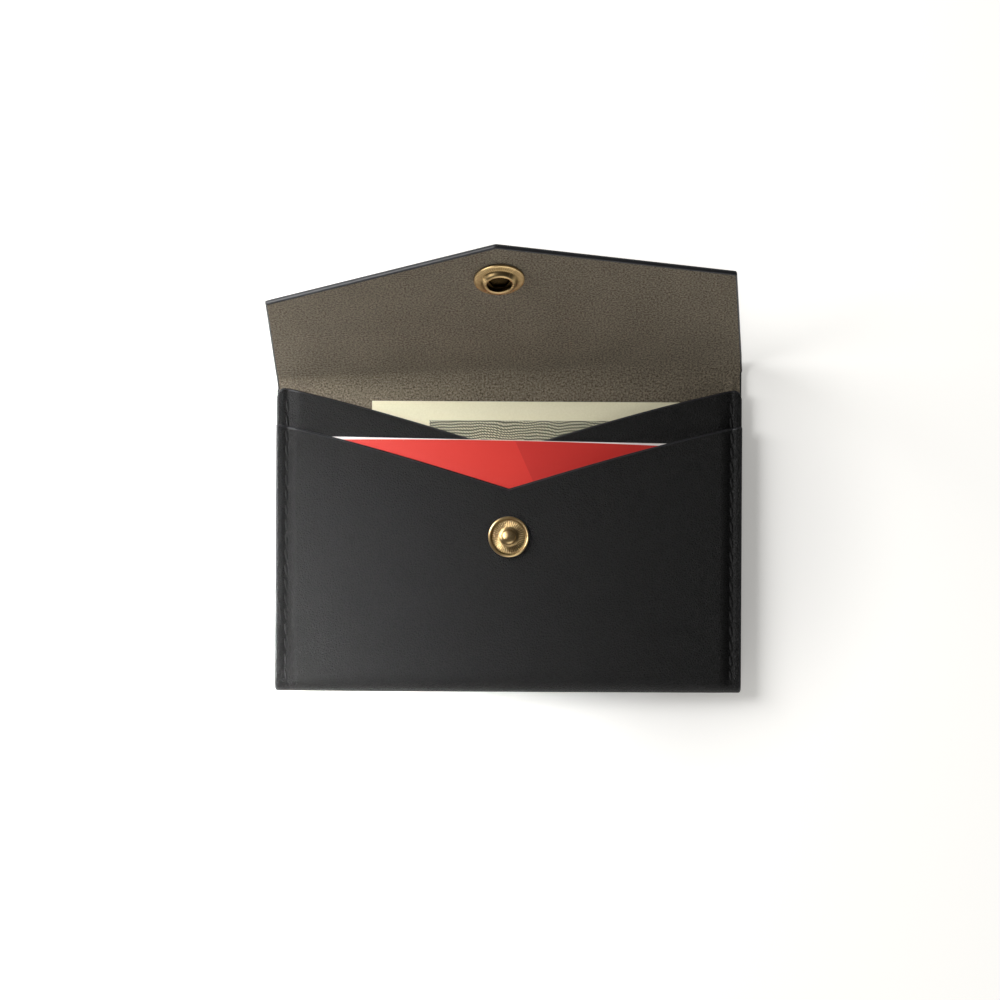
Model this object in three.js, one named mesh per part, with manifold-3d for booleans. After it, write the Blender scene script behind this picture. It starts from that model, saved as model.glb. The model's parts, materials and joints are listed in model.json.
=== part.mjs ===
// Envelope card wallet with a snap, lying on its back with the flap open.
// One leather sheet makes the back, the bottom fold and the front; a second panel divides the pocket.
// Millimetres, +Z up. The origin is the middle of the back's outer face, X runs across, Y towards the flap.
import * as THREE from 'three';
import { mergeVertices } from 'three/addons/utils/BufferGeometryUtils.js';
import Module from 'manifold-3d';

const wasm = await Module();
wasm.setup();

// The card that the pockets are made for, and the room that they leave round it
const cardWidth = 85.6;
const cardHeight = 54;
const cardThickness = 0.5;
const cardCornerRadius = 3;
const cardTurn = -0.9;
const cardTop = 11.3;
const cardSideRoom = 9.7;
const cardBottomRoom = 2.7;

// Outline of the wallet
const walletWidth = cardWidth + 2 * cardSideRoom;
const walletHeight = cardTop + cardHeight + cardBottomRoom;
const leatherThickness = 1.2;
const panelThickness = 1.0;

// V cuts of the two pockets: depth, how far the front one sits below the divider, and its curve
const notchDepth = 13.7;
const frontDrop = 8.5;
const dividerDrop = 0.4;
const notchCurve = 0.12;

// Flap, as cut: from the snap's post to the pocket top, and from there to its corner and point
const flapCornerLength = 28.7;
const flapPointLength = 44.3;
const flapTaper = 1.5;
const flapOpenAngle = 60;
const foldSkew = 2.5;

// Seams at both sides
const seamInset = 2.4;
const grooveWidth = 1.3;
const grooveDepth = 0.7;
const threadRadius = 0.22;
const stitchPitch = 3.4;
const stitchSink = 0.15;
const seamEndInset = 2.2;

// The folded note in the back pocket, pushed over to the right seam
const noteWidth = 77.5;
const noteHeight = 58;
const noteThickness = 0.3;
const noteSideRoom = 0.55;
const noteTop = 3.2;

// Snap fastener
const snapFromTop = 33;
const studBaseRadius = 4.6;
const studBaseHeight = 0.5;
const studRimWidth = 0.6;
const studRimHeight = 0.25;
const ballRadius = 1.9;
const neckRadius = 1.45;
const ballTop = 1.5;
const neckTop = 0.45;
const ballWaist = 0.93;
const ballShoulder = 1.4;
const crownRadius = 1.52;
const shankRadius = 1.3;
const eyeletRadius = 4.2;
const eyeletThickness = 0.4;
const socketRadius = 5.5;
const socketHeight = 1.4;
const socketFlange = 0.45;
const socketWall = 0.5;
const socketShoulder = 4.1;
const springHeight = 0.4;
const springFlat = 2.05;
const capRadius = 6.2;
const capHeight = 1.3;
const capEdge = 0.45;
const capShankRadius = 1.6;

// Clearances
const layerGap = 0.3;
const seatGap = 0.15;
const holeGap = 0.3;
const ballGap = 0.4;
const closeGap = 0.25;
const foldGap = 0.3;

// Widths over which the panels rise from the seams to their full height
const frontRise = 6;
const dividerRise = 2.4;

// How finely the curved sheets are divided
const fieldSteps = 6;
const riseSteps = 5;
const bendSteps = 8;
const panelRows = 4;
const roundSteps = 32;
const hexSides = 6;
const domeSteps = 4;

// Heights of the layers, stacked up from the table
const halfWidth = walletWidth / 2;
const topY = walletHeight / 2;
const bottomY = -walletHeight / 2;
const dividerSeamZ = leatherThickness + layerGap;
const frontSeamZ = dividerSeamZ + panelThickness + layerGap;
const noteZ = leatherThickness + layerGap;
const dividerFieldZ = noteZ + noteThickness + layerGap;
const cardZ = dividerFieldZ + panelThickness + layerGap;
const eyeletZ = cardZ + cardThickness + layerGap;
const frontFieldZ = eyeletZ + eyeletThickness + layerGap;
const frontTopZ = frontFieldZ + leatherThickness;

// Where the closed flap lies, and the fold's axis half way between it and the back
const studZ = frontTopZ + seatGap;
const socketZ = studZ + studBaseHeight + studRimHeight + closeGap;
const flapClosedZ = socketZ + socketHeight + seatGap;
const foldRadius = (flapClosedZ - leatherThickness) / 2;
const skew = THREE.MathUtils.degToRad(foldSkew);
const foldY = topY + halfWidth * Math.tan(skew) - foldGap;
const foldPoint = new THREE.Vector3(0, foldY, leatherThickness + foldRadius);
const foldAxis = new THREE.Vector3(Math.cos(skew), Math.sin(skew), 0);
const foldSide = new THREE.Vector3(-Math.sin(skew), Math.cos(skew), 0);
const openTurn = Math.PI - THREE.MathUtils.degToRad(flapOpenAngle);
const rootSweep = THREE.MathUtils.degToRad(flapOpenAngle) - foldGap / foldRadius;

// Seam and snap places
const seamX = halfWidth - seamInset;
const fieldX = seamX - grooveWidth / 2;
const noteRight = fieldX - dividerRise - noteSideRoom;
const snapY = topY - snapFromTop;

const blackLeather = { color: 0x1c1c1b, roughness: 0.55, metalness: 0 };
const blackThread = { color: 0x151515, roughness: 0.8, metalness: 0 };
const agedBrass = { color: 0x9a7435, roughness: 0.38, metalness: 1 };
const springSteel = { color: 0x4a4032, roughness: 0.45, metalness: 1 };
const redCard = { color: 0xce3a33, roughness: 0.5, metalness: 0 };
const notePaper = { color: 0xe1dbbb, roughness: 0.85, metalness: 0 };

// Small helpers

function smooth(t) {
  const clamped = THREE.MathUtils.clamp(t, 0, 1);
  return clamped * clamped * (3 - 2 * clamped);
}

function spaced(from, to, steps) {
  return Array.from({ length: steps + 1 }, (_, i) => from + ((to - from) * i) / steps);
}

function mirrored(values) {
  const both = [...values.map((x) => -x), ...values];
  return [...new Set(both.map((x) => Number(x.toFixed(6)) + 0))].sort((a, b) => a - b);
}

function outward(geometry) {
  const corner = geometry.attributes.position;
  const index = geometry.index.array;
  const [a, b, c] = [new THREE.Vector3(), new THREE.Vector3(), new THREE.Vector3()];
  let volume = 0;
  for (let i = 0; i < index.length; i += 3) {
    a.fromBufferAttribute(corner, index[i]);
    b.fromBufferAttribute(corner, index[i + 1]);
    c.fromBufferAttribute(corner, index[i + 2]);
    volume += a.dot(b.cross(c));
  }
  if (volume < 0) index.reverse();
  return geometry;
}

// A closed sheet between two faces, each given as a point for every pair (u, v)
function sheet(us, vs, upper, lower) {
  const points = [];
  const faces = [];
  const at = (side, i, j) => (side * us.length + i) * vs.length + j;
  const quad = (a, b, c, d) => faces.push(a, b, c, a, c, d);
  for (const face of [upper, lower]) {
    for (const u of us) {
      for (const v of vs) points.push(...face(u, v));
    }
  }
  for (let i = 0; i + 1 < us.length; i++) {
    for (let j = 0; j + 1 < vs.length; j++) {
      quad(at(0, i, j), at(0, i + 1, j), at(0, i + 1, j + 1), at(0, i, j + 1));
      quad(at(1, i, j), at(1, i, j + 1), at(1, i + 1, j + 1), at(1, i + 1, j));
    }
  }
  const lastU = us.length - 1;
  const lastV = vs.length - 1;
  for (let i = 0; i < lastU; i++) {
    quad(at(0, i, 0), at(1, i, 0), at(1, i + 1, 0), at(0, i + 1, 0));
    quad(at(0, i, lastV), at(0, i + 1, lastV), at(1, i + 1, lastV), at(1, i, lastV));
  }
  for (let j = 0; j < lastV; j++) {
    quad(at(0, 0, j), at(0, 0, j + 1), at(1, 0, j + 1), at(1, 0, j));
    quad(at(0, lastU, j), at(1, lastU, j), at(1, lastU, j + 1), at(0, lastU, j + 1));
  }
  const geometry = new THREE.BufferGeometry();
  geometry.setAttribute('position', new THREE.Float32BufferAttribute(points, 3));
  geometry.setIndex(faces);
  return outward(geometry);
}

function toManifold(geometry) {
  const bare = geometry.clone();
  bare.deleteAttribute('normal');
  bare.deleteAttribute('uv');
  const merged = mergeVertices(bare, 1e-4);
  return new wasm.Manifold(new wasm.Mesh({
    numProp: 3,
    vertProperties: new Float32Array(merged.attributes.position.array),
    triVerts: new Uint32Array(merged.index.array),
  }));
}

function cutFrom(geometry, tool) {
  const cut = toManifold(geometry).subtract(toManifold(tool)).getMesh();
  const result = new THREE.BufferGeometry();
  result.setAttribute('position', new THREE.BufferAttribute(new Float32Array(cut.vertProperties), 3));
  result.setIndex(new THREE.BufferAttribute(new Uint32Array(cut.triVerts), 1));
  return result;
}

// A turned piece: [radius, height] pairs from the axis and back to it, standing along Z
function turned(profile, x, y, z) {
  const shape = new THREE.LatheGeometry(profile.map(([r, h]) => new THREE.Vector2(r, h)), roundSteps);
  shape.rotateX(Math.PI / 2);
  shape.translate(x, y, z);
  return shape;
}

function holeTool(radius, x, y, z) {
  const tool = new THREE.CylinderGeometry(radius, radius, 4 * leatherThickness, roundSteps);
  tool.rotateX(Math.PI / 2);
  tool.translate(x, y, z);
  return tool;
}

function piece(name, geometry, finish) {
  const mesh = new THREE.Mesh(geometry, new THREE.MeshStandardMaterial(finish));
  mesh.name = name;
  return mesh;
}

// Panel shapes

// Top edge of a pocket with its V cut, whose two sides curve a little towards the corners
function notchEdge(x, cornerY) {
  const c = Math.abs(x) / halfWidth;
  return cornerY - notchDepth * (1 - (1 + notchCurve) * c + notchCurve * c ** 3);
}

// Underside of a panel, low at the seams and lifted over what the pocket holds
function raised(x, seamZ, fieldZ, rise) {
  return seamZ + (fieldZ - seamZ) * smooth((fieldX - Math.abs(x)) / rise);
}

function grooveAt(x) {
  return Math.abs(Math.abs(x) - seamX) < 0.3 * grooveWidth ? grooveDepth : 0;
}

const seamColumns = [
  ...spaced(seamX - grooveWidth / 2, seamX + grooveWidth / 2, 4).filter((_, i) => i !== 2),
  seamX,
  halfWidth,
];
const frontColumns = mirrored([
  ...spaced(0, fieldX - frontRise, fieldSteps),
  ...spaced(fieldX - frontRise, fieldX, riseSteps),
  ...seamColumns,
]);
const dividerColumns = mirrored([
  ...spaced(0, fieldX - dividerRise, fieldSteps),
  ...spaced(fieldX - dividerRise, fieldX, riseSteps),
  halfWidth,
]);

// Back, bottom fold and front in one sheet. v runs 0 to 1 up the back, 1 to 2 round the fold, 2 to 3 up the front
function leatherBody() {
  const backEdge = (x) => foldY + x * Math.tan(skew);
  const point = (x, v, outer) => {
    const frontUnder = raised(x, frontSeamZ, frontFieldZ, frontRise);
    const bendOuter = (frontUnder + leatherThickness) / 2;
    const bendY = bottomY + bendOuter;
    const groove = outer ? grooveAt(x) : 0;
    if (v <= 1) return [x, THREE.MathUtils.lerp(backEdge(x), bendY, v), outer ? groove : leatherThickness];
    if (v >= 2) {
      const y = THREE.MathUtils.lerp(bendY, notchEdge(x, topY - frontDrop), v - 2);
      return [x, y, outer ? frontUnder + leatherThickness - groove : frontUnder];
    }
    const turn = Math.PI * (v - 1);
    const radius = outer ? bendOuter - groove : bendOuter - leatherThickness;
    return [x, bendY - radius * Math.sin(turn), bendOuter - radius * Math.cos(turn)];
  };
  const rows = [...new Set([...spaced(0, 1, 2), ...spaced(1, 2, bendSteps), ...spaced(2, 3, panelRows)])];
  const body = sheet(frontColumns, rows, (x, v) => point(x, v, true), (x, v) => point(x, v, false));
  return cutFrom(body, holeTool(shankRadius + holeGap, 0, snapY, frontTopZ));
}

// The pocket divider, between the back and the front and held by both seams
function dividerPanel() {
  const bendInner = (frontSeamZ - leatherThickness) / 2;
  const low = bottomY + leatherThickness + bendInner;
  const high = (x) => notchEdge(x, topY - dividerDrop);
  const under = (x) => raised(x, dividerSeamZ, dividerFieldZ, dividerRise);
  const y = (x, v) => THREE.MathUtils.lerp(low, high(x), v);
  return sheet(
    dividerColumns,
    spaced(0, 1, panelRows),
    (x, v) => [x, y(x, v), under(x) + panelThickness],
    (x, v) => [x, y(x, v), under(x)],
  );
}

// Front end of the flap's leather: a straight run to each corner, then two edges that meet in a point
function flapTip(x) {
  const c = Math.abs(x) / halfWidth;
  return topY - THREE.MathUtils.lerp(flapPointLength, flapCornerLength, c);
}

// A point of the flap as cut, laid over the closed wallet. Past the fold's axis it wraps round it
function closedFlapPoint(x, y, radius) {
  const offset = new THREE.Vector3(x, y - foldY, 0);
  const along = offset.dot(foldAxis);
  const out = offset.dot(foldSide);
  const place = foldAxis.clone().multiplyScalar(along);
  if (out <= 0) {
    place.addScaledVector(foldSide, out);
    place.z += radius;
  } else {
    const turn = out / foldRadius;
    place.addScaledVector(foldSide, radius * Math.sin(turn));
    place.z += radius * Math.cos(turn);
  }
  return place;
}

function flapLeather() {
  const rootLength = rootSweep * foldRadius;
  const rootY = (x) => foldY + (rootLength + x * Math.sin(skew)) / Math.cos(skew);
  const lineY = (x) => foldY + x * Math.tan(skew);
  const point = (x, v, radius) => {
    if (v < 1) return closedFlapPoint(x, THREE.MathUtils.lerp(rootY(x), lineY(x), v), radius);
    const share = v - 1;
    const side = x * (1 - (flapTaper / halfWidth) * share);
    return closedFlapPoint(side, THREE.MathUtils.lerp(lineY(x), flapTip(x), share), radius);
  };
  const rows = [...new Set([...spaced(0, 1, bendSteps / 2), ...spaced(1, 2, panelRows)])];
  const columns = mirrored(spaced(0, halfWidth, fieldSteps));
  const leather = sheet(
    columns,
    rows,
    (x, v) => point(x, v, foldRadius + leatherThickness).toArray(),
    (x, v) => point(x, v, foldRadius).toArray(),
  );
  const tool = holeTool(capShankRadius + holeGap, 0, snapY - foldY, foldRadius);
  return cutFrom(leather, tool);
}

// A sewing thread lying in its groove, dipping at each needle hole
function seamThread(side, surfaceAt, inward) {
  const startY = bottomY + seamEndInset;
  const endY = topY - seamEndInset;
  const stitches = Math.round((endY - startY) / stitchPitch);
  const steps = spaced(startY, endY, stitches * 2);
  const depth = threadRadius + stitchSink;
  const centre = (y, i) => surfaceAt(y) - inward * (i % 2 === 0 ? depth : threadRadius);
  const ring = (y, z, turn) => [
    side * seamX + threadRadius * Math.cos(turn),
    y,
    z + threadRadius * Math.sin(turn),
  ];
  return sweepAlongY(steps.map((y, i) => [y, centre(y, i)]), ring);
}

// A closed tube whose round sections stand across Y
function sweepAlongY(stations, ring) {
  const points = [];
  const faces = [];
  const turnOf = (k) => (2 * Math.PI * k) / hexSides;
  for (const [y, z] of stations) {
    for (let k = 0; k < hexSides; k++) points.push(...ring(y, z, turnOf(k)));
  }
  for (let i = 0; i + 1 < stations.length; i++) {
    for (let k = 0; k < hexSides; k++) {
      const next = (k + 1) % hexSides;
      const [a, b] = [i * hexSides + k, i * hexSides + next];
      faces.push(a, b, b + hexSides, a, b + hexSides, a + hexSides);
    }
  }
  const last = (stations.length - 1) * hexSides;
  for (let k = 1; k + 1 < hexSides; k++) {
    faces.push(0, k + 1, k, last, last + k, last + k + 1);
  }
  const geometry = new THREE.BufferGeometry();
  geometry.setAttribute('position', new THREE.Float32BufferAttribute(points, 3));
  geometry.setIndex(faces);
  return outward(geometry);
}

// The needle thread runs on the front, and at the pocket's mouth steps down onto the divider
function needleSurface(y) {
  const mouth = notchEdge(seamX, topY - frontDrop) + holeGap;
  const frontZ = frontSeamZ + leatherThickness;
  const dividerZ = dividerSeamZ + panelThickness + 2 * (threadRadius + stitchSink);
  return THREE.MathUtils.lerp(frontZ, dividerZ, smooth((y - mouth) / stitchPitch));
}

// Snap pieces, each turned about the snap's axis

function studGeometry() {
  const low = -(seatGap + leatherThickness + layerGap / 2);
  return turned([
    [0, low],
    [shankRadius, low],
    [shankRadius, 0],
    [studBaseRadius, 0],
    [studBaseRadius, studBaseHeight + studRimHeight],
    [studBaseRadius - studRimWidth, studBaseHeight + studRimHeight],
    [studBaseRadius - 2 * studRimWidth, studBaseHeight],
    [neckRadius, studBaseHeight],
    [neckRadius, studBaseHeight + neckTop],
    [ballRadius, studBaseHeight + ballWaist],
    [crownRadius, studBaseHeight + ballShoulder],
    [0, studBaseHeight + ballTop],
  ], 0, snapY, studZ);
}

function eyeletGeometry() {
  const hole = shankRadius + holeGap;
  return turned([
    [hole, 0],
    [eyeletRadius, 0],
    [eyeletRadius, eyeletThickness],
    [hole, eyeletThickness],
    [hole, 0],
  ], 0, snapY, eyeletZ);
}

// The socket hangs under the closed flap: a wide flange on the leather, a domed wall and an open mouth
function socketGeometry() {
  const mouth = ballRadius + ballGap;
  const flangeLow = socketHeight - socketFlange;
  const hollow = mouth + socketWall;
  return turned([
    [mouth, 0],
    [socketShoulder - socketWall, 0],
    [socketShoulder, socketWall],
    [socketRadius, flangeLow],
    [socketRadius, socketHeight],
    [hollow, socketHeight],
    [hollow, socketWall],
    [mouth, socketWall],
    [mouth, 0],
  ], 0, snapY - foldY, socketZ - foldPoint.z);
}

// A flat spring whose six-sided hole grips the ball
function springGeometry() {
  const outer = ballRadius + ballGap + socketWall - seatGap;
  const shape = new THREE.Shape().absarc(0, 0, outer, 0, 2 * Math.PI, false);
  const corner = springFlat / Math.cos(Math.PI / hexSides);
  const turns = Array.from({ length: hexSides }, (_, k) => (2 * Math.PI * k) / hexSides);
  shape.holes.push(new THREE.Path(turns.map((a) => new THREE.Vector2(
    corner * Math.cos(a),
    corner * Math.sin(a),
  ))));
  const spring = new THREE.ExtrudeGeometry(shape, {
    depth: springHeight,
    bevelEnabled: false,
    curveSegments: roundSteps / 2,
  });
  spring.translate(0, snapY - foldY, socketZ + socketWall + seatGap - foldPoint.z);
  return spring;
}

// The cap lies on the outside of the flap, with its shank through the leather
function capGeometry() {
  const base = leatherThickness + seatGap;
  const rise = capHeight - capEdge;
  const dome = spaced(0, Math.PI / 2, domeSteps).slice(0, -1).map((turn) => [
    capRadius * Math.cos(turn),
    base + capEdge + rise * Math.sin(turn),
  ]);
  return turned([
    [0, 0],
    [capShankRadius, 0],
    [capShankRadius, base],
    [capRadius, base],
    ...dome,
    [0, base + capHeight],
  ], 0, snapY - foldY, foldRadius);
}

// What the pockets hold

function cardGeometry() {
  const [w, h, r] = [cardWidth / 2, cardHeight / 2, cardCornerRadius];
  const shape = new THREE.Shape();
  shape.absarc(w - r, h - r, r, 0, Math.PI / 2, false);
  shape.absarc(-w + r, h - r, r, Math.PI / 2, Math.PI, false);
  shape.absarc(-w + r, -h + r, r, Math.PI, 1.5 * Math.PI, false);
  shape.absarc(w - r, -h + r, r, 1.5 * Math.PI, 2 * Math.PI, false);
  const card = new THREE.ExtrudeGeometry(shape, {
    depth: cardThickness,
    bevelEnabled: false,
    curveSegments: 4,
  });
  card.rotateZ(THREE.MathUtils.degToRad(cardTurn));
  card.translate(0, topY - cardTop - h, cardZ);
  return card;
}

function noteGeometry() {
  const note = new THREE.BoxGeometry(noteWidth, noteHeight, noteThickness);
  note.translate(noteRight - noteWidth / 2, topY - noteTop - noteHeight / 2, noteZ + noteThickness / 2);
  return note;
}

// The wallet
const group = new THREE.Group();
group.add(piece('leather_body', leatherBody(), blackLeather));
group.add(piece('pocket_divider', dividerPanel(), blackLeather));
for (const [name, side] of [['left', -1], ['right', 1]]) {
  group.add(piece(`${name}_needle_thread`, seamThread(side, needleSurface, 1), blackThread));
  group.add(piece(`${name}_bobbin_thread`, seamThread(side, () => 0, -1), blackThread));
}
group.add(piece('snap_stud', studGeometry(), agedBrass));
group.add(piece('stud_eyelet', eyeletGeometry(), agedBrass));
group.add(piece('card', cardGeometry(), redCard));
group.add(piece('folded_note', noteGeometry(), notePaper));

// The flap and its half of the snap are built over the closed wallet, then opened about the fold
const flapGroup = new THREE.Group();
flapGroup.position.copy(foldPoint);
flapGroup.quaternion.setFromAxisAngle(foldAxis, -openTurn);
flapGroup.add(piece('flap', flapLeather(), blackLeather));
flapGroup.add(piece('snap_socket', socketGeometry(), agedBrass));
flapGroup.add(piece('socket_spring', springGeometry(), springSteel));
flapGroup.add(piece('snap_cap', capGeometry(), agedBrass));
group.add(flapGroup);

export default group;
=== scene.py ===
import bpy
import json
import math
from mathutils import Matrix, Vector


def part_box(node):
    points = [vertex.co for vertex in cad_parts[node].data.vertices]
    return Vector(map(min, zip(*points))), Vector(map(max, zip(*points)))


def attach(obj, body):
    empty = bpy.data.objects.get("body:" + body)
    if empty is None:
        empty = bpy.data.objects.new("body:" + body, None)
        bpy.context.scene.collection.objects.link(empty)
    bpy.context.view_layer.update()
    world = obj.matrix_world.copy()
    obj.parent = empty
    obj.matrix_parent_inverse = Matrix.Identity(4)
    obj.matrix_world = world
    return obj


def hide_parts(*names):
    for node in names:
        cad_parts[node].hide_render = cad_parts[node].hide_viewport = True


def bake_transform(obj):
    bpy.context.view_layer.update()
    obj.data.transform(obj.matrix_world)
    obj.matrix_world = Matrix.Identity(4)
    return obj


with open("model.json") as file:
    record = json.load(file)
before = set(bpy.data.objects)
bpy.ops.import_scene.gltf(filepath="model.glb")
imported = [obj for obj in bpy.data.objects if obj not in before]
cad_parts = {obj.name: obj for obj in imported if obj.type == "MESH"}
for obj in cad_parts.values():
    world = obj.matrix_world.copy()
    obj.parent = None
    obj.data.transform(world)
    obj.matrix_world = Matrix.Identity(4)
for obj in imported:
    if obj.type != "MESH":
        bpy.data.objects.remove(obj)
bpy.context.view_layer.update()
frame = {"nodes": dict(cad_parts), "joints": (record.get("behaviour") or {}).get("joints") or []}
mm = 0.001

# The frame gives the sizes that the leather follows
bodyLow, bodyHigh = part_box("leather_body")
dividerLow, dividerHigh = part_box("pocket_divider")
studLow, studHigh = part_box("snap_stud")
fold = frame["joints"][0]
foldPoint = Vector(fold["pos_m"]) / mm
foldAxis = Vector(fold["axis"]).normalized()
foldSide = Vector((-foldAxis.y, foldAxis.x, 0))
openTurn = math.radians(fold["range_deg"][1])

leatherCut = {
    "halfWidth": bodyHigh.x / mm,
    "bottom": bodyLow.y / mm,
    "top": dividerHigh.y / mm + 0.4,  # the pocket's top, which the notches are measured from
    "thickness": 1.2,
    "edge": 0.42,  # how far the edge paint rounds over onto both faces
    "frontDrop": 7.85,  # the front pocket's corner, below the divider's
    "notchDepth": 14.35,
    "notchCurve": 0.12,
    "seamTop": 4.0,  # height of the front at the seams
    "fieldTop": bodyHigh.z / mm,
    "rise": 1.6,  # width of the slope beside each seam
    "crown": 1.3,  # fall of the front from its middle to its seams
    "seamInset": 2.4,
    "grooveWidth": 1.8,
    "grooveDepth": 0.6,
    "grooveFade": 2.2,  # the groove runs out over this length before a fold
    "backGroove": 0.4,  # the back's groove, as a share of the front's
    "slopeInset": 0.65,  # from the seam in to the front's slope
    "cornerLength": 28.7,
    "pointLength": 44.3,
    "taper": 1.5,
    "bendEnd": 2.0,  # how far up the flap the bend at the fold reaches
    "splits": (0.3, 0.36, 0.66, 0.71),  # shares of the rows where the front, bottom, back and fold end
    "columns": 210,
    "rows": 200,
}
dividerCut = {
    "thickness": 1.0,
    "edge": 0.36,
    "low": dividerLow.y / mm,
    "drop": -0.7,
    "seamTop": 2.5,
    "fieldTop": dividerHigh.z / mm,
    "rise": 2.4,
    "cornerRadius": 2.4,
    "groove": 0.8,  # its seam groove's depth, as a share of the front's
    "patternShift": 200,  # its grain comes from another place of the pattern
    "columns": 210,
    "rows": 50,
}
stitching = {
    "pitch": 3.4,
    "length": 2.5,
    "thickness": 0.56,
    "slant": 9,
    "endInset": 2.2,
    "proud": 0.02,
    "pastMouth": 0.6,  # how far the front's stitches run on past its edge
}
stud = {
    "x": 0.0,
    "y": (studLow.y + studHigh.y) / 2 / mm,
    "ribs": {"count": 44, "inner": 2.2, "outer": 3.7, "low": 0.44, "high": 0.7, "rise": 0.1},
    "profile": [
        (1.0, -1.3), (1.3, -1.2), (1.3, 0.12), (4.3, 0.12), (4.55, 0.2), (4.6, 0.42), (4.52, 0.72),
        (4.3, 0.86), (4.05, 0.8), (3.92, 0.6), (3.8, 0.5), (3.6, 0.48), (3.0, 0.56), (2.4, 0.66), (2.1, 0.74),
        (1.95, 0.84), (1.8, 0.88), (1.6, 0.88), (1.42, 0.98), (1.42, 1.25), (1.6, 1.5), (1.66, 1.75),
        (1.58, 1.98), (1.36, 2.16), (1.05, 2.28), (0.65, 2.36), (0.25, 2.39),
    ],
}
socket = {
    "ribs": {"count": 60, "inner": 4.0, "outer": 5.1, "low": 0.7, "high": 0.84, "rise": 0.05},
    "holeRadius": 2.7,
    "holeFloor": 0.2,
    "profile": [
        (0.3, 0.12), (5.25, 0.12), (5.42, 0.22), (5.46, 0.42), (5.38, 0.62), (5.2, 0.72), (5.0, 0.74),
        (4.55, 0.76), (4.1, 0.8), (3.9, 0.9), (3.72, 1.15), (3.55, 1.5), (3.35, 1.76), (3.1, 1.88),
        (2.9, 1.88), (2.74, 1.78), (2.68, 1.6), (2.68, 0.3), (0.3, 0.28),
    ],
}
cap = {
    "profile": [
        (0.9, -1.2), (1.6, -1.1), (1.6, 0.12), (5.9, 0.12), (6.15, 0.22), (6.2, 0.42), (6.1, 0.62),
        (5.7, 0.86), (5.0, 1.08), (4.0, 1.26), (2.8, 1.38), (1.4, 1.44), (0.4, 1.45),
    ],
}
note = {
    "raise": 0.7,  # it stands this much higher in its pocket than the frame's note
    "sheet": 0.11,
    "edge": 0.03,
    "lowFace": 0.12,  # height of the under layer's face above the note's low side
    "setBack": 0.25,  # how far the under layer's top lies below the upper one's
    "columns": 40,
    "rows": 60,
}
# Painted light: the floor itself glows, more between near and far, which are metres from the wallet's middle;
# the dimmer glow near the wallet is painted shade round it
paintedFloorGlow = {"oval": (0.8, 1.05, 1.0), "near": 0.044, "far": 0.075, "dim": 0.24, "bright": 0.5}
worldLight = 0.05
lamps = {
    "window": {"place": (-0.36, 0.2, 0.26), "aim": (0, 0, 0), "size": 0.26, "spread": 180, "power": 2.9},
    "sheen": {"place": (-0.26, 0.0, 0.42), "aim": (-0.1, -0.045, 0), "size": 0.1, "spread": 22, "power": 0.2},
    "fill": {"place": (0.15, -0.7, 0.34), "aim": (0, 0, 0), "size": 0.6, "spread": 180, "power": 2.3},
}
viewpoint = {
    "distance": 600.0,
    "scale": 4.413,  # pixels of the photograph per millimetre
    "pixels": 1000,
    "sensor": 36,
    "centreX": -1.99,
    "centreY": 9.24,
    "turn": 0.32,
}
meshing = {"circleSteps": 192, "stepsPerRib": 6, "bevelSteps": 3, "bevelAngle": 70, "smoothAngle": 38}

leatherCut["seamX"] = leatherCut["halfWidth"] - leatherCut["seamInset"]
leatherCut["fieldX"] = leatherCut["seamX"] - leatherCut["slopeInset"]
foldRadius = foldPoint.z  # from the fold's axis to the leather's outer face
openAngle = math.pi - openTurn  # how steeply the open flap stands above the back
rootLength = openAngle * (foldRadius - leatherCut["thickness"] / 2)


# Colours and materials

def hexColor(code):
    channels = [int(code[i:i + 2], 16) / 255 for i in (1, 3, 5)]
    linear = [c / 12.92 if c <= 0.04045 else ((c + 0.055) / 1.055) ** 2.4 for c in channels]
    return (*linear, 1.0)


def addNode(material, kind, inputs=None, **settings):
    node = material.node_tree.nodes.new(kind)
    for name, value in settings.items():
        setattr(node, name, value)
    for name, value in (inputs or {}).items():
        if isinstance(value, bpy.types.NodeSocket):
            material.node_tree.links.new(value, node.inputs[name])
        else:
            node.inputs[name].default_value = value
    return node


def newMaterial(name, **shader):
    material = bpy.data.materials.new(name)
    material.use_nodes = True
    surface = material.node_tree.nodes["Principled BSDF"]
    for key, value in shader.items():
        surface.inputs[key.replace("_", " ")].default_value = value
    return material, surface


def flatPattern(material):
    # the cut leather's own UV map counts in millimetres
    return addNode(material, "ShaderNodeUVMap", uv_map="UVMap").outputs["UV"]


def objectPattern(material):
    # object coordinates turned into millimetres
    place = addNode(material, "ShaderNodeTexCoord").outputs["Object"]
    scaled = addNode(material, "ShaderNodeMapping", {"Vector": place, "Scale": (1000, 1000, 1000)})
    return scaled.outputs["Vector"]


def colorMix(material, factor, low, high):
    mixed = addNode(material, "ShaderNodeMix", {"Factor": factor, 6: hexColor(low), 7: hexColor(high)},
                    data_type="RGBA")
    return mixed.outputs[2]


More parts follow.
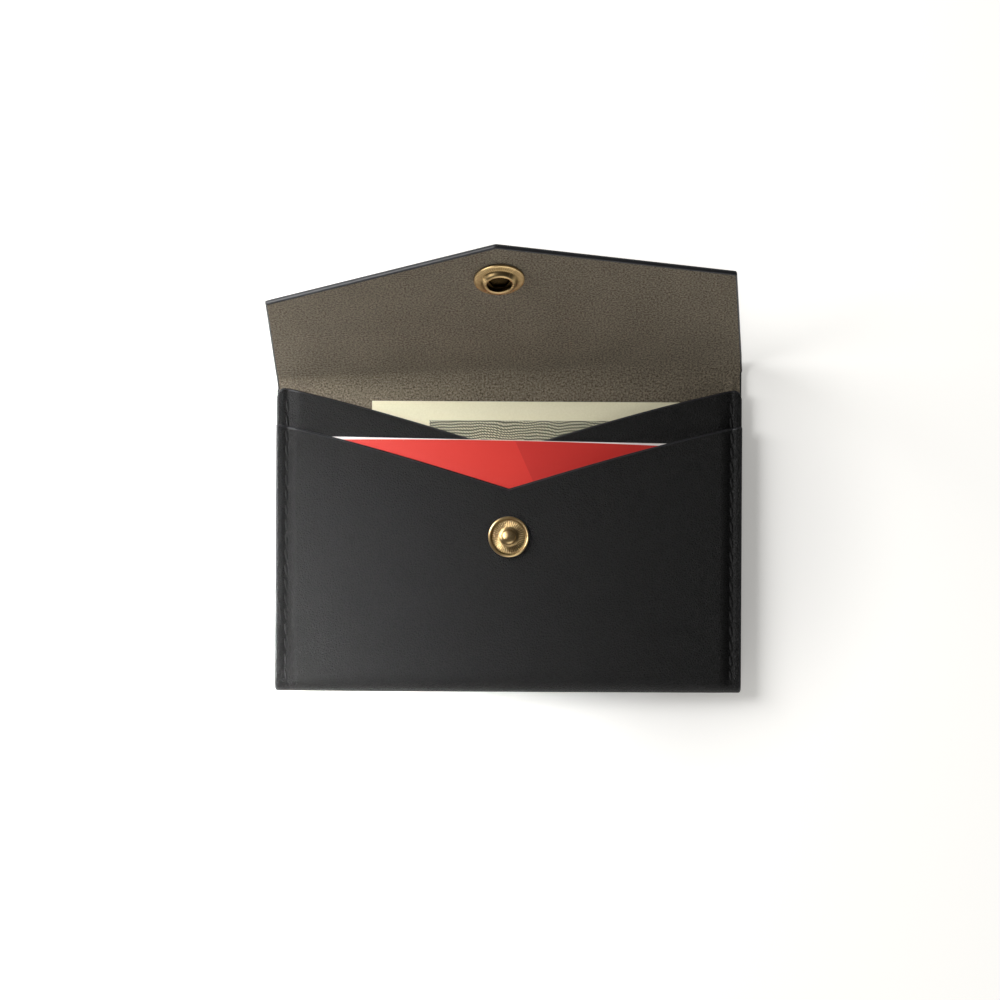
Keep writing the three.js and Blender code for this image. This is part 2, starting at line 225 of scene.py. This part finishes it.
# Embossed PU leather: a fine pebble grain of shallow cells under a satin finish
def blackLeather():
    grain = {"pebble": 0.55, "wander": 1.0, "crease": 0.22, "pore": 0.12, "height": 0.085,
             "poreShare": 0.25, "foldShare": 0.45}
    material, surface = newMaterial("blackEmbossedLeather", IOR=1.5)
    surface.inputs["Specular IOR Level"].default_value = 0.3
    place = flatPattern(material)
    wander = addNode(material, "ShaderNodeTexNoise", {"Vector": place, "Scale": 0.9, "Detail": 3.0})
    shift = addNode(material, "ShaderNodeVectorMath", {0: wander.outputs["Color"], "Scale": grain["wander"]},
                    operation="SCALE")
    bent = addNode(material, "ShaderNodeVectorMath", {0: place, 1: shift.outputs[0]}, operation="ADD")
    cells = addNode(material, "ShaderNodeTexVoronoi",
                    {"Vector": bent.outputs[0], "Scale": 1 / grain["pebble"], "Randomness": 1.0},
                    feature="DISTANCE_TO_EDGE")
    pebbles = addNode(material, "ShaderNodeMapRange",
                      {"Value": cells.outputs["Distance"], "From Max": grain["crease"]},
                      interpolation_type="SMOOTHSTEP")
    pores = addNode(material, "ShaderNodeTexNoise",
                    {"Vector": place, "Scale": 1 / grain["pore"], "Detail": 2.0})
    folds = addNode(material, "ShaderNodeTexNoise", {"Vector": place, "Scale": 0.55, "Detail": 4.0})
    fine = addNode(material, "ShaderNodeMath",
                   {0: pores.outputs["Fac"], 1: grain["poreShare"], 2: pebbles.outputs["Result"]},
                   operation="MULTIPLY_ADD")
    height = addNode(material, "ShaderNodeMath",
                     {0: folds.outputs["Fac"], 1: grain["foldShare"], 2: fine.outputs[0]},
                     operation="MULTIPLY_ADD")
    bump = addNode(material, "ShaderNodeBump",
                   {"Height": height.outputs[0], "Strength": 1.0, "Distance": grain["height"] * mm})
    tone = addNode(material, "ShaderNodeTexNoise", {"Vector": place, "Scale": 0.12, "Detail": 3.0})
    gloss = addNode(material, "ShaderNodeMapRange",
                    {"Value": pebbles.outputs["Result"], "To Min": 0.58, "To Max": 0.52})
    links = material.node_tree.links
    links.new(bump.outputs["Normal"], surface.inputs["Normal"])
    links.new(colorMix(material, tone.outputs["Fac"], "#0c0c0c", "#121211"), surface.inputs["Base Color"])
    links.new(gloss.outputs["Result"], surface.inputs["Roughness"])
    return material


# Sueded microfibre backing: matt, with short fibres that speckle the grey-brown
def suedeLining():
    fibre = {"speck": 0.42, "cloud": 9.0, "height": 0.16, "cloudShare": 0.25, "shade": 0.85}
    material, surface = newMaterial("suedeLining", Roughness=0.95)
    surface.inputs["Sheen Weight"].default_value = 0.06
    surface.inputs["Sheen Roughness"].default_value = 0.6
    surface.inputs["Specular IOR Level"].default_value = 0.1
    place = flatPattern(material)
    specks = addNode(material, "ShaderNodeTexNoise",
                     {"Vector": place, "Scale": 1 / fibre["speck"], "Detail": 3.0, "Roughness": 0.7})
    clouds = addNode(material, "ShaderNodeTexNoise",
                     {"Vector": place, "Scale": 1 / fibre["cloud"], "Detail": 2.0})
    spread = addNode(material, "ShaderNodeMapRange",
                     {"Value": specks.outputs["Fac"], "From Min": 0.36, "From Max": 0.64})
    mixed = addNode(material, "ShaderNodeMath",
                    {0: clouds.outputs["Fac"], 1: fibre["cloudShare"], 2: spread.outputs["Result"]},
                    operation="MULTIPLY_ADD")
    shade = addNode(material, "ShaderNodeMath", {0: mixed.outputs[0], 1: fibre["shade"]},
                    operation="MULTIPLY")
    bump = addNode(material, "ShaderNodeBump",
                   {"Height": specks.outputs["Fac"], "Strength": 1.0, "Distance": fibre["height"] * mm})
    links = material.node_tree.links
    links.new(colorMix(material, shade.outputs[0], "#3a3428", "#968b79"), surface.inputs["Base Color"])
    links.new(bump.outputs["Normal"], surface.inputs["Normal"])
    return material


# Edge paint: a rounded, slightly glossy black bead with a faint brushed unevenness
def edgePaint():
    material, surface = newMaterial("paintedEdge", Roughness=0.42)
    place = objectPattern(material)
    ripple = addNode(material, "ShaderNodeTexNoise", {"Vector": place, "Scale": 0.8, "Detail": 3.0})
    bump = addNode(material, "ShaderNodeBump",
                   {"Height": ripple.outputs["Fac"], "Strength": 0.6, "Distance": 0.08 * mm})
    links = material.node_tree.links
    links.new(bump.outputs["Normal"], surface.inputs["Normal"])
    links.new(colorMix(material, ripple.outputs["Fac"], "#19191b", "#2a2a2e"), surface.inputs["Base Color"])
    return material


# Waxed polyester thread: twisted strands with a soft shine
def waxedThread():
    strand = {"twist": 0.35, "lay": 35}
    material, surface = newMaterial("waxedThread", Roughness=0.5)
    place = objectPattern(material)
    turned = addNode(material, "ShaderNodeMapping",
                     {"Vector": place, "Rotation": (0, 0, math.radians(strand["lay"]))})
    twist = addNode(material, "ShaderNodeTexWave",
                    {"Vector": turned.outputs["Vector"], "Scale": 1 / strand["twist"], "Distortion": 0.5},
                    bands_direction="Y")
    bump = addNode(material, "ShaderNodeBump",
                   {"Height": twist.outputs["Fac"], "Strength": 0.8, "Distance": 0.06 * mm})
    links = material.node_tree.links
    links.new(bump.outputs["Normal"], surface.inputs["Normal"])
    links.new(colorMix(material, twist.outputs["Fac"], "#161616", "#2c2c2c"), surface.inputs["Base Color"])
    return material


# Antique brass: plated, darkened in the hollows and rubbed bright on what stands proud
def antiqueBrass(name="antiqueBrass", dark="#5d4724", bright="#d3b684"):
    wear = {"patch": 2.2, "scratch": 0.3, "patchShare": 0.9, "whole": 0.62}
    material, surface = newMaterial(name, Metallic=1.0)
    place = objectPattern(material)
    patches = addNode(material, "ShaderNodeTexNoise",
                      {"Vector": place, "Scale": 1 / wear["patch"], "Detail": 5.0})
    rubbed = addNode(material, "ShaderNodeNewGeometry").outputs["Pointiness"]
    edges = addNode(material, "ShaderNodeMapRange", {"Value": rubbed, "From Min": 0.46, "From Max": 0.56})
    worn = addNode(material, "ShaderNodeMath",
                   {0: patches.outputs["Fac"], 1: wear["patchShare"], 2: edges.outputs["Result"]},
                   operation="MULTIPLY_ADD")
    share = addNode(material, "ShaderNodeMath", {0: worn.outputs[0], 1: wear["whole"]},
                    operation="MULTIPLY", use_clamp=True)
    scratches = addNode(material, "ShaderNodeTexNoise",
                        {"Vector": place, "Scale": 1 / wear["scratch"], "Detail": 3.0})
    gloss = addNode(material, "ShaderNodeMapRange",
                    {"Value": scratches.outputs["Fac"], "To Min": 0.24, "To Max": 0.48})
    bump = addNode(material, "ShaderNodeBump",
                   {"Height": scratches.outputs["Fac"], "Strength": 0.4, "Distance": 0.02 * mm})
    links = material.node_tree.links
    links.new(colorMix(material, share.outputs[0], dark, bright), surface.inputs["Base Color"])
    links.new(gloss.outputs["Result"], surface.inputs["Roughness"])
    links.new(bump.outputs["Normal"], surface.inputs["Normal"])
    return material


# Coated card: two plain red fields with a white edge along its top
def printedCard():
    card = {"lean": 0.45, "fieldSplit": 11.5, "turn": 0.9, "edge": 0.06, "edgeStart": 40, "bow": 0.0004}
    slant = math.tan(math.radians(card["turn"]))
    material, surface = newMaterial("printedCard", Roughness=0.42)
    place = objectPattern(material)
    parts = addNode(material, "ShaderNodeSeparateXYZ", {"Vector": place})
    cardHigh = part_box("card")[1]
    lean = addNode(material, "ShaderNodeMath",
                   {0: parts.outputs["Y"], 1: card["lean"], 2: parts.outputs["X"]}, operation="MULTIPLY_ADD")
    side = addNode(material, "ShaderNodeMath", {0: lean.outputs[0], 1: card["fieldSplit"]},
                   operation="GREATER_THAN")
    fields = colorMix(material, side.outputs[0], "#d6362c", "#c62e27")
    slope = addNode(material, "ShaderNodeMath",
                    {0: parts.outputs["X"], 1: slant, 2: parts.outputs["Y"]}, operation="MULTIPLY_ADD")
    top = cardHigh.y / mm - card["edgeStart"] * slant
    bow = addNode(material, "ShaderNodeMath", {0: parts.outputs["X"], 1: parts.outputs["X"]},
                  operation="MULTIPLY")
    bent = addNode(material, "ShaderNodeMath", {0: bow.outputs[0], 1: card["bow"], 2: slope.outputs[0]},
                   operation="MULTIPLY_ADD")
    band = addNode(material, "ShaderNodeMath", {0: bent.outputs[0], 1: top - card["edge"]},
                   operation="GREATER_THAN")
    printed = addNode(material, "ShaderNodeMix",
                      {"Factor": band.outputs[0], 6: fields, 7: hexColor("#efe9e4")}, data_type="RGBA")
    fibre = addNode(material, "ShaderNodeTexNoise", {"Vector": place, "Scale": 6.0, "Detail": 2.0})
    bump = addNode(material, "ShaderNodeBump",
                   {"Height": fibre.outputs["Fac"], "Strength": 0.3, "Distance": 0.01 * mm})
    links = material.node_tree.links
    links.new(printed.outputs[2], surface.inputs["Base Color"])
    links.new(bump.outputs["Normal"], surface.inputs["Normal"])
    return material


# Cotton note paper: cream, with a plain engraved guilloche band below its margin
def notePaper(topY, leftX):
    band = {"margin": 4.3, "height": 5.0, "inset": 13.0, "ring": 2.04, "stroke": 1.02}
    material, surface = newMaterial("cottonPaper", Roughness=0.85)
    place = objectPattern(material)
    parts = addNode(material, "ShaderNodeSeparateXYZ", {"Vector": place})
    bandTop = topY - band["margin"]
    high = addNode(material, "ShaderNodeMath", {0: parts.outputs["Y"], 1: bandTop}, operation="LESS_THAN")
    low = addNode(material, "ShaderNodeMath", {0: parts.outputs["Y"], 1: bandTop - band["height"]},
                  operation="GREATER_THAN")
    right = addNode(material, "ShaderNodeMath", {0: parts.outputs["X"], 1: leftX + band["inset"]},
                    operation="GREATER_THAN")
    inside = addNode(material, "ShaderNodeMath", {0: high.outputs[0], 1: low.outputs[0]},
                     operation="MULTIPLY")
    panel = addNode(material, "ShaderNodeMath", {0: inside.outputs[0], 1: right.outputs[0]},
                    operation="MULTIPLY")
    rings = addNode(material, "ShaderNodeTexWave",
                    {"Vector": place, "Scale": 1 / band["ring"], "Distortion": 9.0, "Detail": 1.0,
                     "Detail Scale": 0.4}, wave_type="RINGS")
    lines = addNode(material, "ShaderNodeTexWave",
                    {"Vector": place, "Scale": 1 / band["stroke"], "Distortion": 4.0, "Detail Scale": 0.5},
                    bands_direction="DIAGONAL")
    ink = addNode(material, "ShaderNodeMath", {0: rings.outputs["Fac"], 1: lines.outputs["Fac"]},
                  operation="MULTIPLY")
    strength = addNode(material, "ShaderNodeMapRange",
                       {"Value": ink.outputs[0], "From Min": 0.12, "From Max": 0.42, "To Min": 0.92,
                        "To Max": 0.12})
    share = addNode(material, "ShaderNodeMath", {0: panel.outputs[0], 1: strength.outputs["Result"]},
                    operation="MULTIPLY")
    fibre = addNode(material, "ShaderNodeTexNoise", {"Vector": place, "Scale": 3.0, "Detail": 4.0})
    paper = colorMix(material, fibre.outputs["Fac"], "#e3dcb9", "#f3edcf")
    inked = addNode(material, "ShaderNodeMix",
                    {"Factor": share.outputs[0], 6: paper, 7: hexColor("#33382f")}, data_type="RGBA")
    bump = addNode(material, "ShaderNodeBump",
                   {"Height": fibre.outputs["Fac"], "Strength": 0.5, "Distance": 0.03 * mm})
    links = material.node_tree.links
    links.new(inked.outputs[2], surface.inputs["Base Color"])
    links.new(bump.outputs["Normal"], surface.inputs["Normal"])
    return material


# Tools for the pieces

def smoothStep(t):
    t = min(max(t, 0.0), 1.0)
    return t * t * (3 - 2 * t)


def mix(a, b, t):
    return a + (b - a) * t


def applyModifiers(piece):
    bpy.ops.object.select_all(action="DESELECT")
    piece.select_set(True)
    bpy.context.view_layer.objects.active = piece
    for modifier in list(piece.modifiers):
        bpy.ops.object.modifier_apply(modifier=modifier.name)


# A flat grid is laid out as the cut piece, placed point by point, then given its wall and rounded edges
def cutSheet(name, columns, rows, place, thickness, materials, edge):
    bpy.ops.object.select_all(action="DESELECT")
    bpy.ops.mesh.primitive_grid_add(x_subdivisions=columns, y_subdivisions=rows, size=2)
    piece = bpy.context.active_object
    piece.name = name
    flat = {}
    for vertex in piece.data.vertices:
        point, cut = place(vertex.co.x, (vertex.co.y + 1) / 2)
        vertex.co = Vector(point) * mm
        flat[vertex.index] = cut
    pattern = piece.data.uv_layers.active.data
    for loop in piece.data.loops:
        pattern[loop.index].uv = flat[loop.vertex_index]
    piece.data.flip_normals()  # the grid is laid out from the front's top down, so its grain side faces in
    for material in materials:
        piece.data.materials.append(material)
    wall = piece.modifiers.new("wall", "SOLIDIFY")
    wall.thickness = thickness * mm
    wall.offset = -1
    wall.use_even_offset = True
    wall.material_offset = 1
    wall.material_offset_rim = 2
    rounded = piece.modifiers.new("rounded", "BEVEL")
    rounded.width = edge * mm
    rounded.segments = meshing["bevelSteps"]
    rounded.limit_method = "ANGLE"
    rounded.angle_limit = math.radians(meshing["bevelAngle"])
    rounded.material = len(materials) - 1
    applyModifiers(piece)
    bpy.ops.object.shade_smooth()
    return piece


def notchEdge(x, cornerY):
    c = abs(x) / leatherCut["halfWidth"]
    curve = leatherCut["notchCurve"]
    return cornerY - leatherCut["notchDepth"] * (1 - (1 + curve) * c + curve * c ** 3)


def seamGroove(x, fromFold=math.inf):
    away = abs(abs(x) - leatherCut["seamX"]) / (leatherCut["grooveWidth"] / 2)
    fade = smoothStep(fromFold / leatherCut["grooveFade"])
    return leatherCut["grooveDepth"] * (1 - smoothStep(away)) * fade


def frontHeight(x):
    lift = smoothStep((leatherCut["fieldX"] - abs(x)) / leatherCut["rise"])
    crown = leatherCut["crown"] * (x / leatherCut["fieldX"]) ** 2
    return mix(leatherCut["seamTop"], leatherCut["fieldTop"] - crown, lift)


def openedFlap(x, y):
    # a point of the flap's outer face, from where it lies over the closed wallet to where it stands open
    offset = Vector((x, y, 0)) - Vector((foldPoint.x, foldPoint.y, 0))
    along = offset.dot(foldAxis)
    out = -offset.dot(foldSide)
    base = foldPoint + foldAxis * along
    if out < 0:
        turn = openAngle * (1 + out / rootLength)
        return base + foldSide * (foldRadius * math.sin(turn)) - Vector((0, 0, foldRadius * math.cos(turn)))
    foot = base + foldSide * (foldRadius * math.sin(openAngle))
    foot -= Vector((0, 0, foldRadius * math.cos(openAngle)))
    return foot + foldSide * (out * math.cos(openAngle)) + Vector((0, 0, out * math.sin(openAngle)))


def leatherPoint(u, v):
    # v runs down the front from its notch, round the bottom, along the back, round the fold and out the flap
    cut = leatherCut
    frontEnd, bottomEnd, backEnd, rootEnd = cut["splits"]
    x = u * cut["halfWidth"]
    top = frontHeight(x)
    bendRadius = top / 2
    bendY = cut["bottom"] + bendRadius
    foldY = foldPoint.y + x * foldAxis.y / foldAxis.x
    backStart = -bendY + math.pi * bendRadius
    backLength = foldY - bendY
    if v <= frontEnd:
        notch = notchEdge(x, cut["top"] - cut["frontDrop"])
        y = mix(notch, bendY, v / frontEnd)
        return (x, y, top - seamGroove(x, y - bendY)), (x, -y)
    if v <= bottomEnd:
        turn = math.pi * (v - frontEnd) / (bottomEnd - frontEnd)
        y = bendY - bendRadius * math.sin(turn)
        return (x, y, bendRadius + bendRadius * math.cos(turn)), (x, -bendY + bendRadius * turn)
    if v <= backEnd:
        share = (v - bottomEnd) / (backEnd - bottomEnd)
        y = mix(bendY, foldY, share)
        groove = cut["backGroove"] * seamGroove(x, min(y - bendY, foldY - y))
        return (x, y, groove), (x, backStart + backLength * share)
    if v <= rootEnd:
        share = (v - backEnd) / (rootEnd - backEnd)
        away = (x * foldAxis.y + rootLength) / foldAxis.x
        y = mix(foldPoint.y + away, foldY, share)
        return tuple(openedFlap(x, y)), (x, backStart + backLength + rootLength * share)
    share = (v - rootEnd) / (1 - rootEnd)
    side = x * (1 - cut["taper"] / cut["halfWidth"] * share)
    tip = cut["top"] - mix(cut["pointLength"], cut["cornerLength"], abs(u))
    y = mix(foldY, tip, share)
    return tuple(openedFlap(side, y)), (side, backStart + backLength + rootLength + (foldY - y))


def dividerPoint(u, v):
    cut = dividerCut
    x = u * leatherCut["halfWidth"]
    lift = smoothStep((leatherCut["fieldX"] - abs(x)) / cut["rise"])
    top = mix(cut["seamTop"], cut["fieldTop"], lift)
    edge = notchEdge(x, leatherCut["top"] - cut["drop"])
    inCorner = max(0.0, abs(x) - (leatherCut["halfWidth"] - cut["cornerRadius"]))
    edge -= cut["cornerRadius"] - math.sqrt(max(0.0, cut["cornerRadius"] ** 2 - inCorner ** 2))
    y = mix(edge, cut["low"], v)
    return (x, y, top - seamGroove(x) * cut["groove"]), (x + cut["patternShift"], -y)


def turnedPiece(name, profile, ribs=None):
    steps = meshing["stepsPerRib"] * ribs["count"] if ribs else meshing["circleSteps"]
    radius, height = profile[0]
    bpy.ops.object.select_all(action="DESELECT")
    bpy.ops.mesh.primitive_circle_add(vertices=steps, radius=radius, location=(0, 0, 0), fill_type="NOTHING")
    piece = bpy.context.active_object
    piece.name = name
    bpy.ops.object.mode_set(mode="EDIT")
    bpy.ops.mesh.select_all(action="SELECT")
    bpy.ops.transform.translate(value=(0, 0, height))
    closed = profile[0] == profile[-1]
    if not closed:
        bpy.ops.mesh.edge_face_add()
    for nextRadius, nextHeight in profile[1:]:
        bpy.ops.mesh.extrude_edges_move()
        scale = nextRadius / radius
        bpy.ops.transform.resize(value=(scale, scale, 1), center_override=(0, 0, height))
        bpy.ops.transform.translate(value=(0, 0, nextHeight - height))
        radius, height = nextRadius, nextHeight
    if not closed:
        bpy.ops.mesh.edge_face_add()
    bpy.ops.mesh.select_all(action="SELECT")
    bpy.ops.mesh.remove_doubles(threshold=0.001)
    bpy.ops.mesh.normals_make_consistent(inside=False)
    bpy.ops.object.mode_set(mode="OBJECT")
    if ribs:
        raiseRibs(piece, **ribs)
    bpy.ops.object.shade_smooth_by_angle(angle=math.radians(meshing["smoothAngle"]))
    return piece


def raiseRibs(piece, count, inner, outer, low, high, rise):
    for vertex in piece.data.vertices:
        radius = math.hypot(vertex.co.x, vertex.co.y)
        if inner <= radius <= outer and low <= vertex.co.z <= high:
            angle = math.atan2(vertex.co.y, vertex.co.x)
            vertex.co.z += rise * 0.5 * math.cos(count * angle)


def settle(piece, matrix, material):
    piece.data.transform(Matrix.Scale(mm, 4) @ matrix)
    piece.data.materials.clear()
    piece.data.materials.append(material)
    return piece


# Floor, light and camera, set for the photograph's straight view from above

def makeFloor():
    bpy.ops.object.select_all(action="DESELECT")
    bpy.ops.mesh.primitive_plane_add(size=4, location=(0, 0, -0.0002))
    floor = bpy.context.active_object
    floor.name = "floor"
    material, surface = newMaterial("paleFloor", Roughness=0.9)
    surface.inputs["Base Color"].default_value = hexColor("#f2f1ef")
    # painted light: the floor's glow, dim near the wallet as painted shade there and brighter far from it
    surface.inputs["Emission Color"].default_value = hexColor("#fffdf7")
    place = addNode(material, "ShaderNodeTexCoord").outputs["Object"]
    oval = addNode(material, "ShaderNodeMapping", {"Vector": place, "Scale": paintedFloorGlow["oval"]})
    away = addNode(material, "ShaderNodeVectorMath", {0: oval.outputs["Vector"]}, operation="LENGTH")
    paintedGlow = addNode(material, "ShaderNodeMapRange",
                   {"Value": away.outputs["Value"],
                    "From Min": paintedFloorGlow["near"], "From Max": paintedFloorGlow["far"],
                    "To Min": paintedFloorGlow["dim"], "To Max": paintedFloorGlow["bright"]},
                   interpolation_type="SMOOTHSTEP")
    material.node_tree.links.new(paintedGlow.outputs["Result"], surface.inputs["Emission Strength"])
    floor.data.materials.append(material)


def makeLamps():
    world = bpy.data.worlds.new("studio")
    world.use_nodes = True
    world.node_tree.nodes["Background"].inputs["Color"].default_value = (1, 1, 1, 1)
    world.node_tree.nodes["Background"].inputs["Strength"].default_value = worldLight
    bpy.context.scene.world = world
    for name, lamp in lamps.items():
        data = bpy.data.lights.new(name, "AREA")
        data.size = lamp["size"]
        data.energy = lamp["power"]
        data.spread = math.radians(lamp["spread"])
        light = bpy.data.objects.new(name, data)
        light.location = lamp["place"]
        aim = Vector(lamp["aim"]) - Vector(lamp["place"])
        light.rotation_euler = aim.to_track_quat("-Z", "Y").to_euler()
        bpy.context.scene.collection.objects.link(light)


def makeCamera():
    camera = bpy.data.objects.new("camera", bpy.data.cameras.new("camera"))
    bpy.context.scene.collection.objects.link(camera)
    width = viewpoint["pixels"] / viewpoint["scale"]
    camera.data.sensor_width = viewpoint["sensor"]
    camera.data.lens = viewpoint["sensor"] * viewpoint["distance"] / width
    camera.location = (viewpoint["centreX"] * mm, viewpoint["centreY"] * mm, viewpoint["distance"] * mm)
    camera.rotation_euler = (0, 0, math.radians(viewpoint["turn"]))
    bpy.context.scene.camera = camera
    bpy.context.scene.view_settings.view_transform = "Standard"
    print("studio ready")


# The pieces

def makeLeather(materials):
    shell = cutSheet("leather_shell", leatherCut["columns"], leatherCut["rows"], leatherPoint,
                     leatherCut["thickness"], materials, leatherCut["edge"])
    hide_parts("leather_body", "flap")
    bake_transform(shell)
    divider = cutSheet("divider_panel", dividerCut["columns"], dividerCut["rows"], dividerPoint,
                       dividerCut["thickness"], materials, dividerCut["edge"])
    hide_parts("pocket_divider")
    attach(divider, "wallet")
    print("leather cut and folded")


def makeStitches(name, side, surface, underside, material, replaced):
    start = leatherCut["bottom"] + stitching["endInset"]
    end = leatherCut["top"] - stitching["endInset"]
    count = round((end - start) / stitching["pitch"])
    bpy.ops.object.select_all(action="DESELECT")
    bpy.ops.mesh.primitive_uv_sphere_add(segments=12, ring_count=10, radius=0.5)
    first = bpy.context.active_object
    size = (stitching["thickness"], stitching["length"], stitching["thickness"], 1)
    first.data.transform(Matrix.Diagonal(size))
    stitches = [first]
    for _ in range(count - 1):
        copy = first.copy()
        copy.data = first.data.copy()
        bpy.context.scene.collection.objects.link(copy)
        stitches.append(copy)
    for index, stitch in enumerate(stitches):
        y = start + (index + 0.5) * (end - start) / count
        slant = Matrix.Rotation(math.radians(stitching["slant"] * (-1 if underside else 1)), 4, "Z")
        spot = Matrix.Translation((side * leatherCut["seamX"], y, surface(y)))
        stitch.data.transform(Matrix.Scale(mm, 4) @ spot @ slant)
        stitch.select_set(True)
    bpy.context.view_layer.objects.active = first
    bpy.ops.object.join()
    bpy.ops.object.shade_smooth()
    first.name = name
    first.data.materials.append(material)
    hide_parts(replaced)
    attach(first, "wallet")


def needleHeight(y):
    half = stitching["thickness"] / 2
    mouth = notchEdge(leatherCut["seamX"], leatherCut["top"] - leatherCut["frontDrop"])
    level = leatherCut["seamTop"] if y < mouth + stitching["pastMouth"] else dividerCut["seamTop"]
    return level - leatherCut["grooveDepth"] + half + stitching["proud"]


def bobbinHeight(y):
    # the back lies level, so its stitches are as high anywhere along the seam
    return stitching["thickness"] / 2


def makeSeams(material):
    for name, side in (("left", -1), ("right", 1)):
        makeStitches(f"{name}_seam_front", side, needleHeight, False, material, f"{name}_needle_thread")
        makeStitches(f"{name}_seam_back", side, bobbinHeight, True, material, f"{name}_bobbin_thread")
    print("seams sewn")


def makeStud(brass):
    post = turnedPiece("stud_post", stud["profile"], stud["ribs"])
    settle(post, Matrix.Translation((stud["x"], stud["y"], leatherCut["fieldTop"])), brass)
    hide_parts("snap_stud")
    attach(post, "wallet")


def onOpenFlap(height):
    # from the stud's place at a height over the closed wallet to the flap as it stands open
    opened = Matrix.Translation(foldPoint) @ Matrix.Rotation(-openTurn, 4, foldAxis)
    return opened @ Matrix.Translation(-foldPoint) @ Matrix.Translation((stud["x"], stud["y"], height))


def makeSocket(brass, dark):
    mouth = turnedPiece("socket_ring", socket["profile"], socket["ribs"])
    # the faces inside the hole get the second, dark brass: painted shade, for the shade down in the socket's
    # hole
    inside = [face.index for face in mouth.data.polygons
              if math.hypot(face.center.x, face.center.y) < socket["holeRadius"]
              and face.center.z > socket["holeFloor"]]
    underside = 2 * foldPoint.z - leatherCut["thickness"]
    settle(mouth, onOpenFlap(underside) @ Matrix.Diagonal((1, 1, -1, 1)), brass)
    mouth.data.flip_normals()
    mouth.data.materials.append(dark)
    for index in inside:
        mouth.data.polygons[index].material_index = 1
    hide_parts("snap_socket")
    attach(mouth, "flap")


def makeCap(brass):
    dome = turnedPiece("cap_dome", cap["profile"])
    settle(dome, onOpenFlap(2 * foldPoint.z), brass)
    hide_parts("snap_cap")
    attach(dome, "flap")


def makeSnap(brass, dark):
    makeStud(brass)
    makeSocket(brass, dark)
    makeCap(brass)
    # the spring gets the dark brass as painted shade inside the socket's hole
    paint("socket_spring", dark)
    paint("stud_eyelet", brass)
    print("snap set")


def paint(node, material):
    piece = frame["nodes"][node]
    piece.data.materials.clear()
    piece.data.materials.append(material)


def notePoint(u, v):
    # a sheet folded once at the bottom into two layers
    low, high = (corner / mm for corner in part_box("folded_note"))
    x = mix(low.x, high.x, (u + 1) / 2)
    half = (high.z - low.z) / 2
    y = mix(high.y + note["raise"], low.y + half, min(v, 1 - v) * 2)
    if v < 0.5:
        return (x, y, high.z), (x, y)
    y -= note["setBack"] * (v - 0.5) * 2
    return (x, y, low.z + note["lowFace"]), (x, y)


def makeContents():
    paint("card", printedCard())
    low, high = (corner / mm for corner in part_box("folded_note"))
    paper = notePaper(high.y + note["raise"], low.x)
    sheet = cutSheet("paper_note", note["columns"], note["rows"], notePoint, note["sheet"],
                     [paper, paper, paper], note["edge"])
    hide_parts("folded_note")
    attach(sheet, "wallet")
    print("card and note in their pockets")


makeFloor()
makeLamps()
makeCamera()
makeLeather([blackLeather(), suedeLining(), edgePaint()])
makeSeams(waxedThread())
# the second, dark brass is painted shade for the socket's hole and its spring
makeSnap(antiqueBrass(), antiqueBrass("paintedShadeSpringBrass", "#2a2013", "#5a4626"))
makeContents()
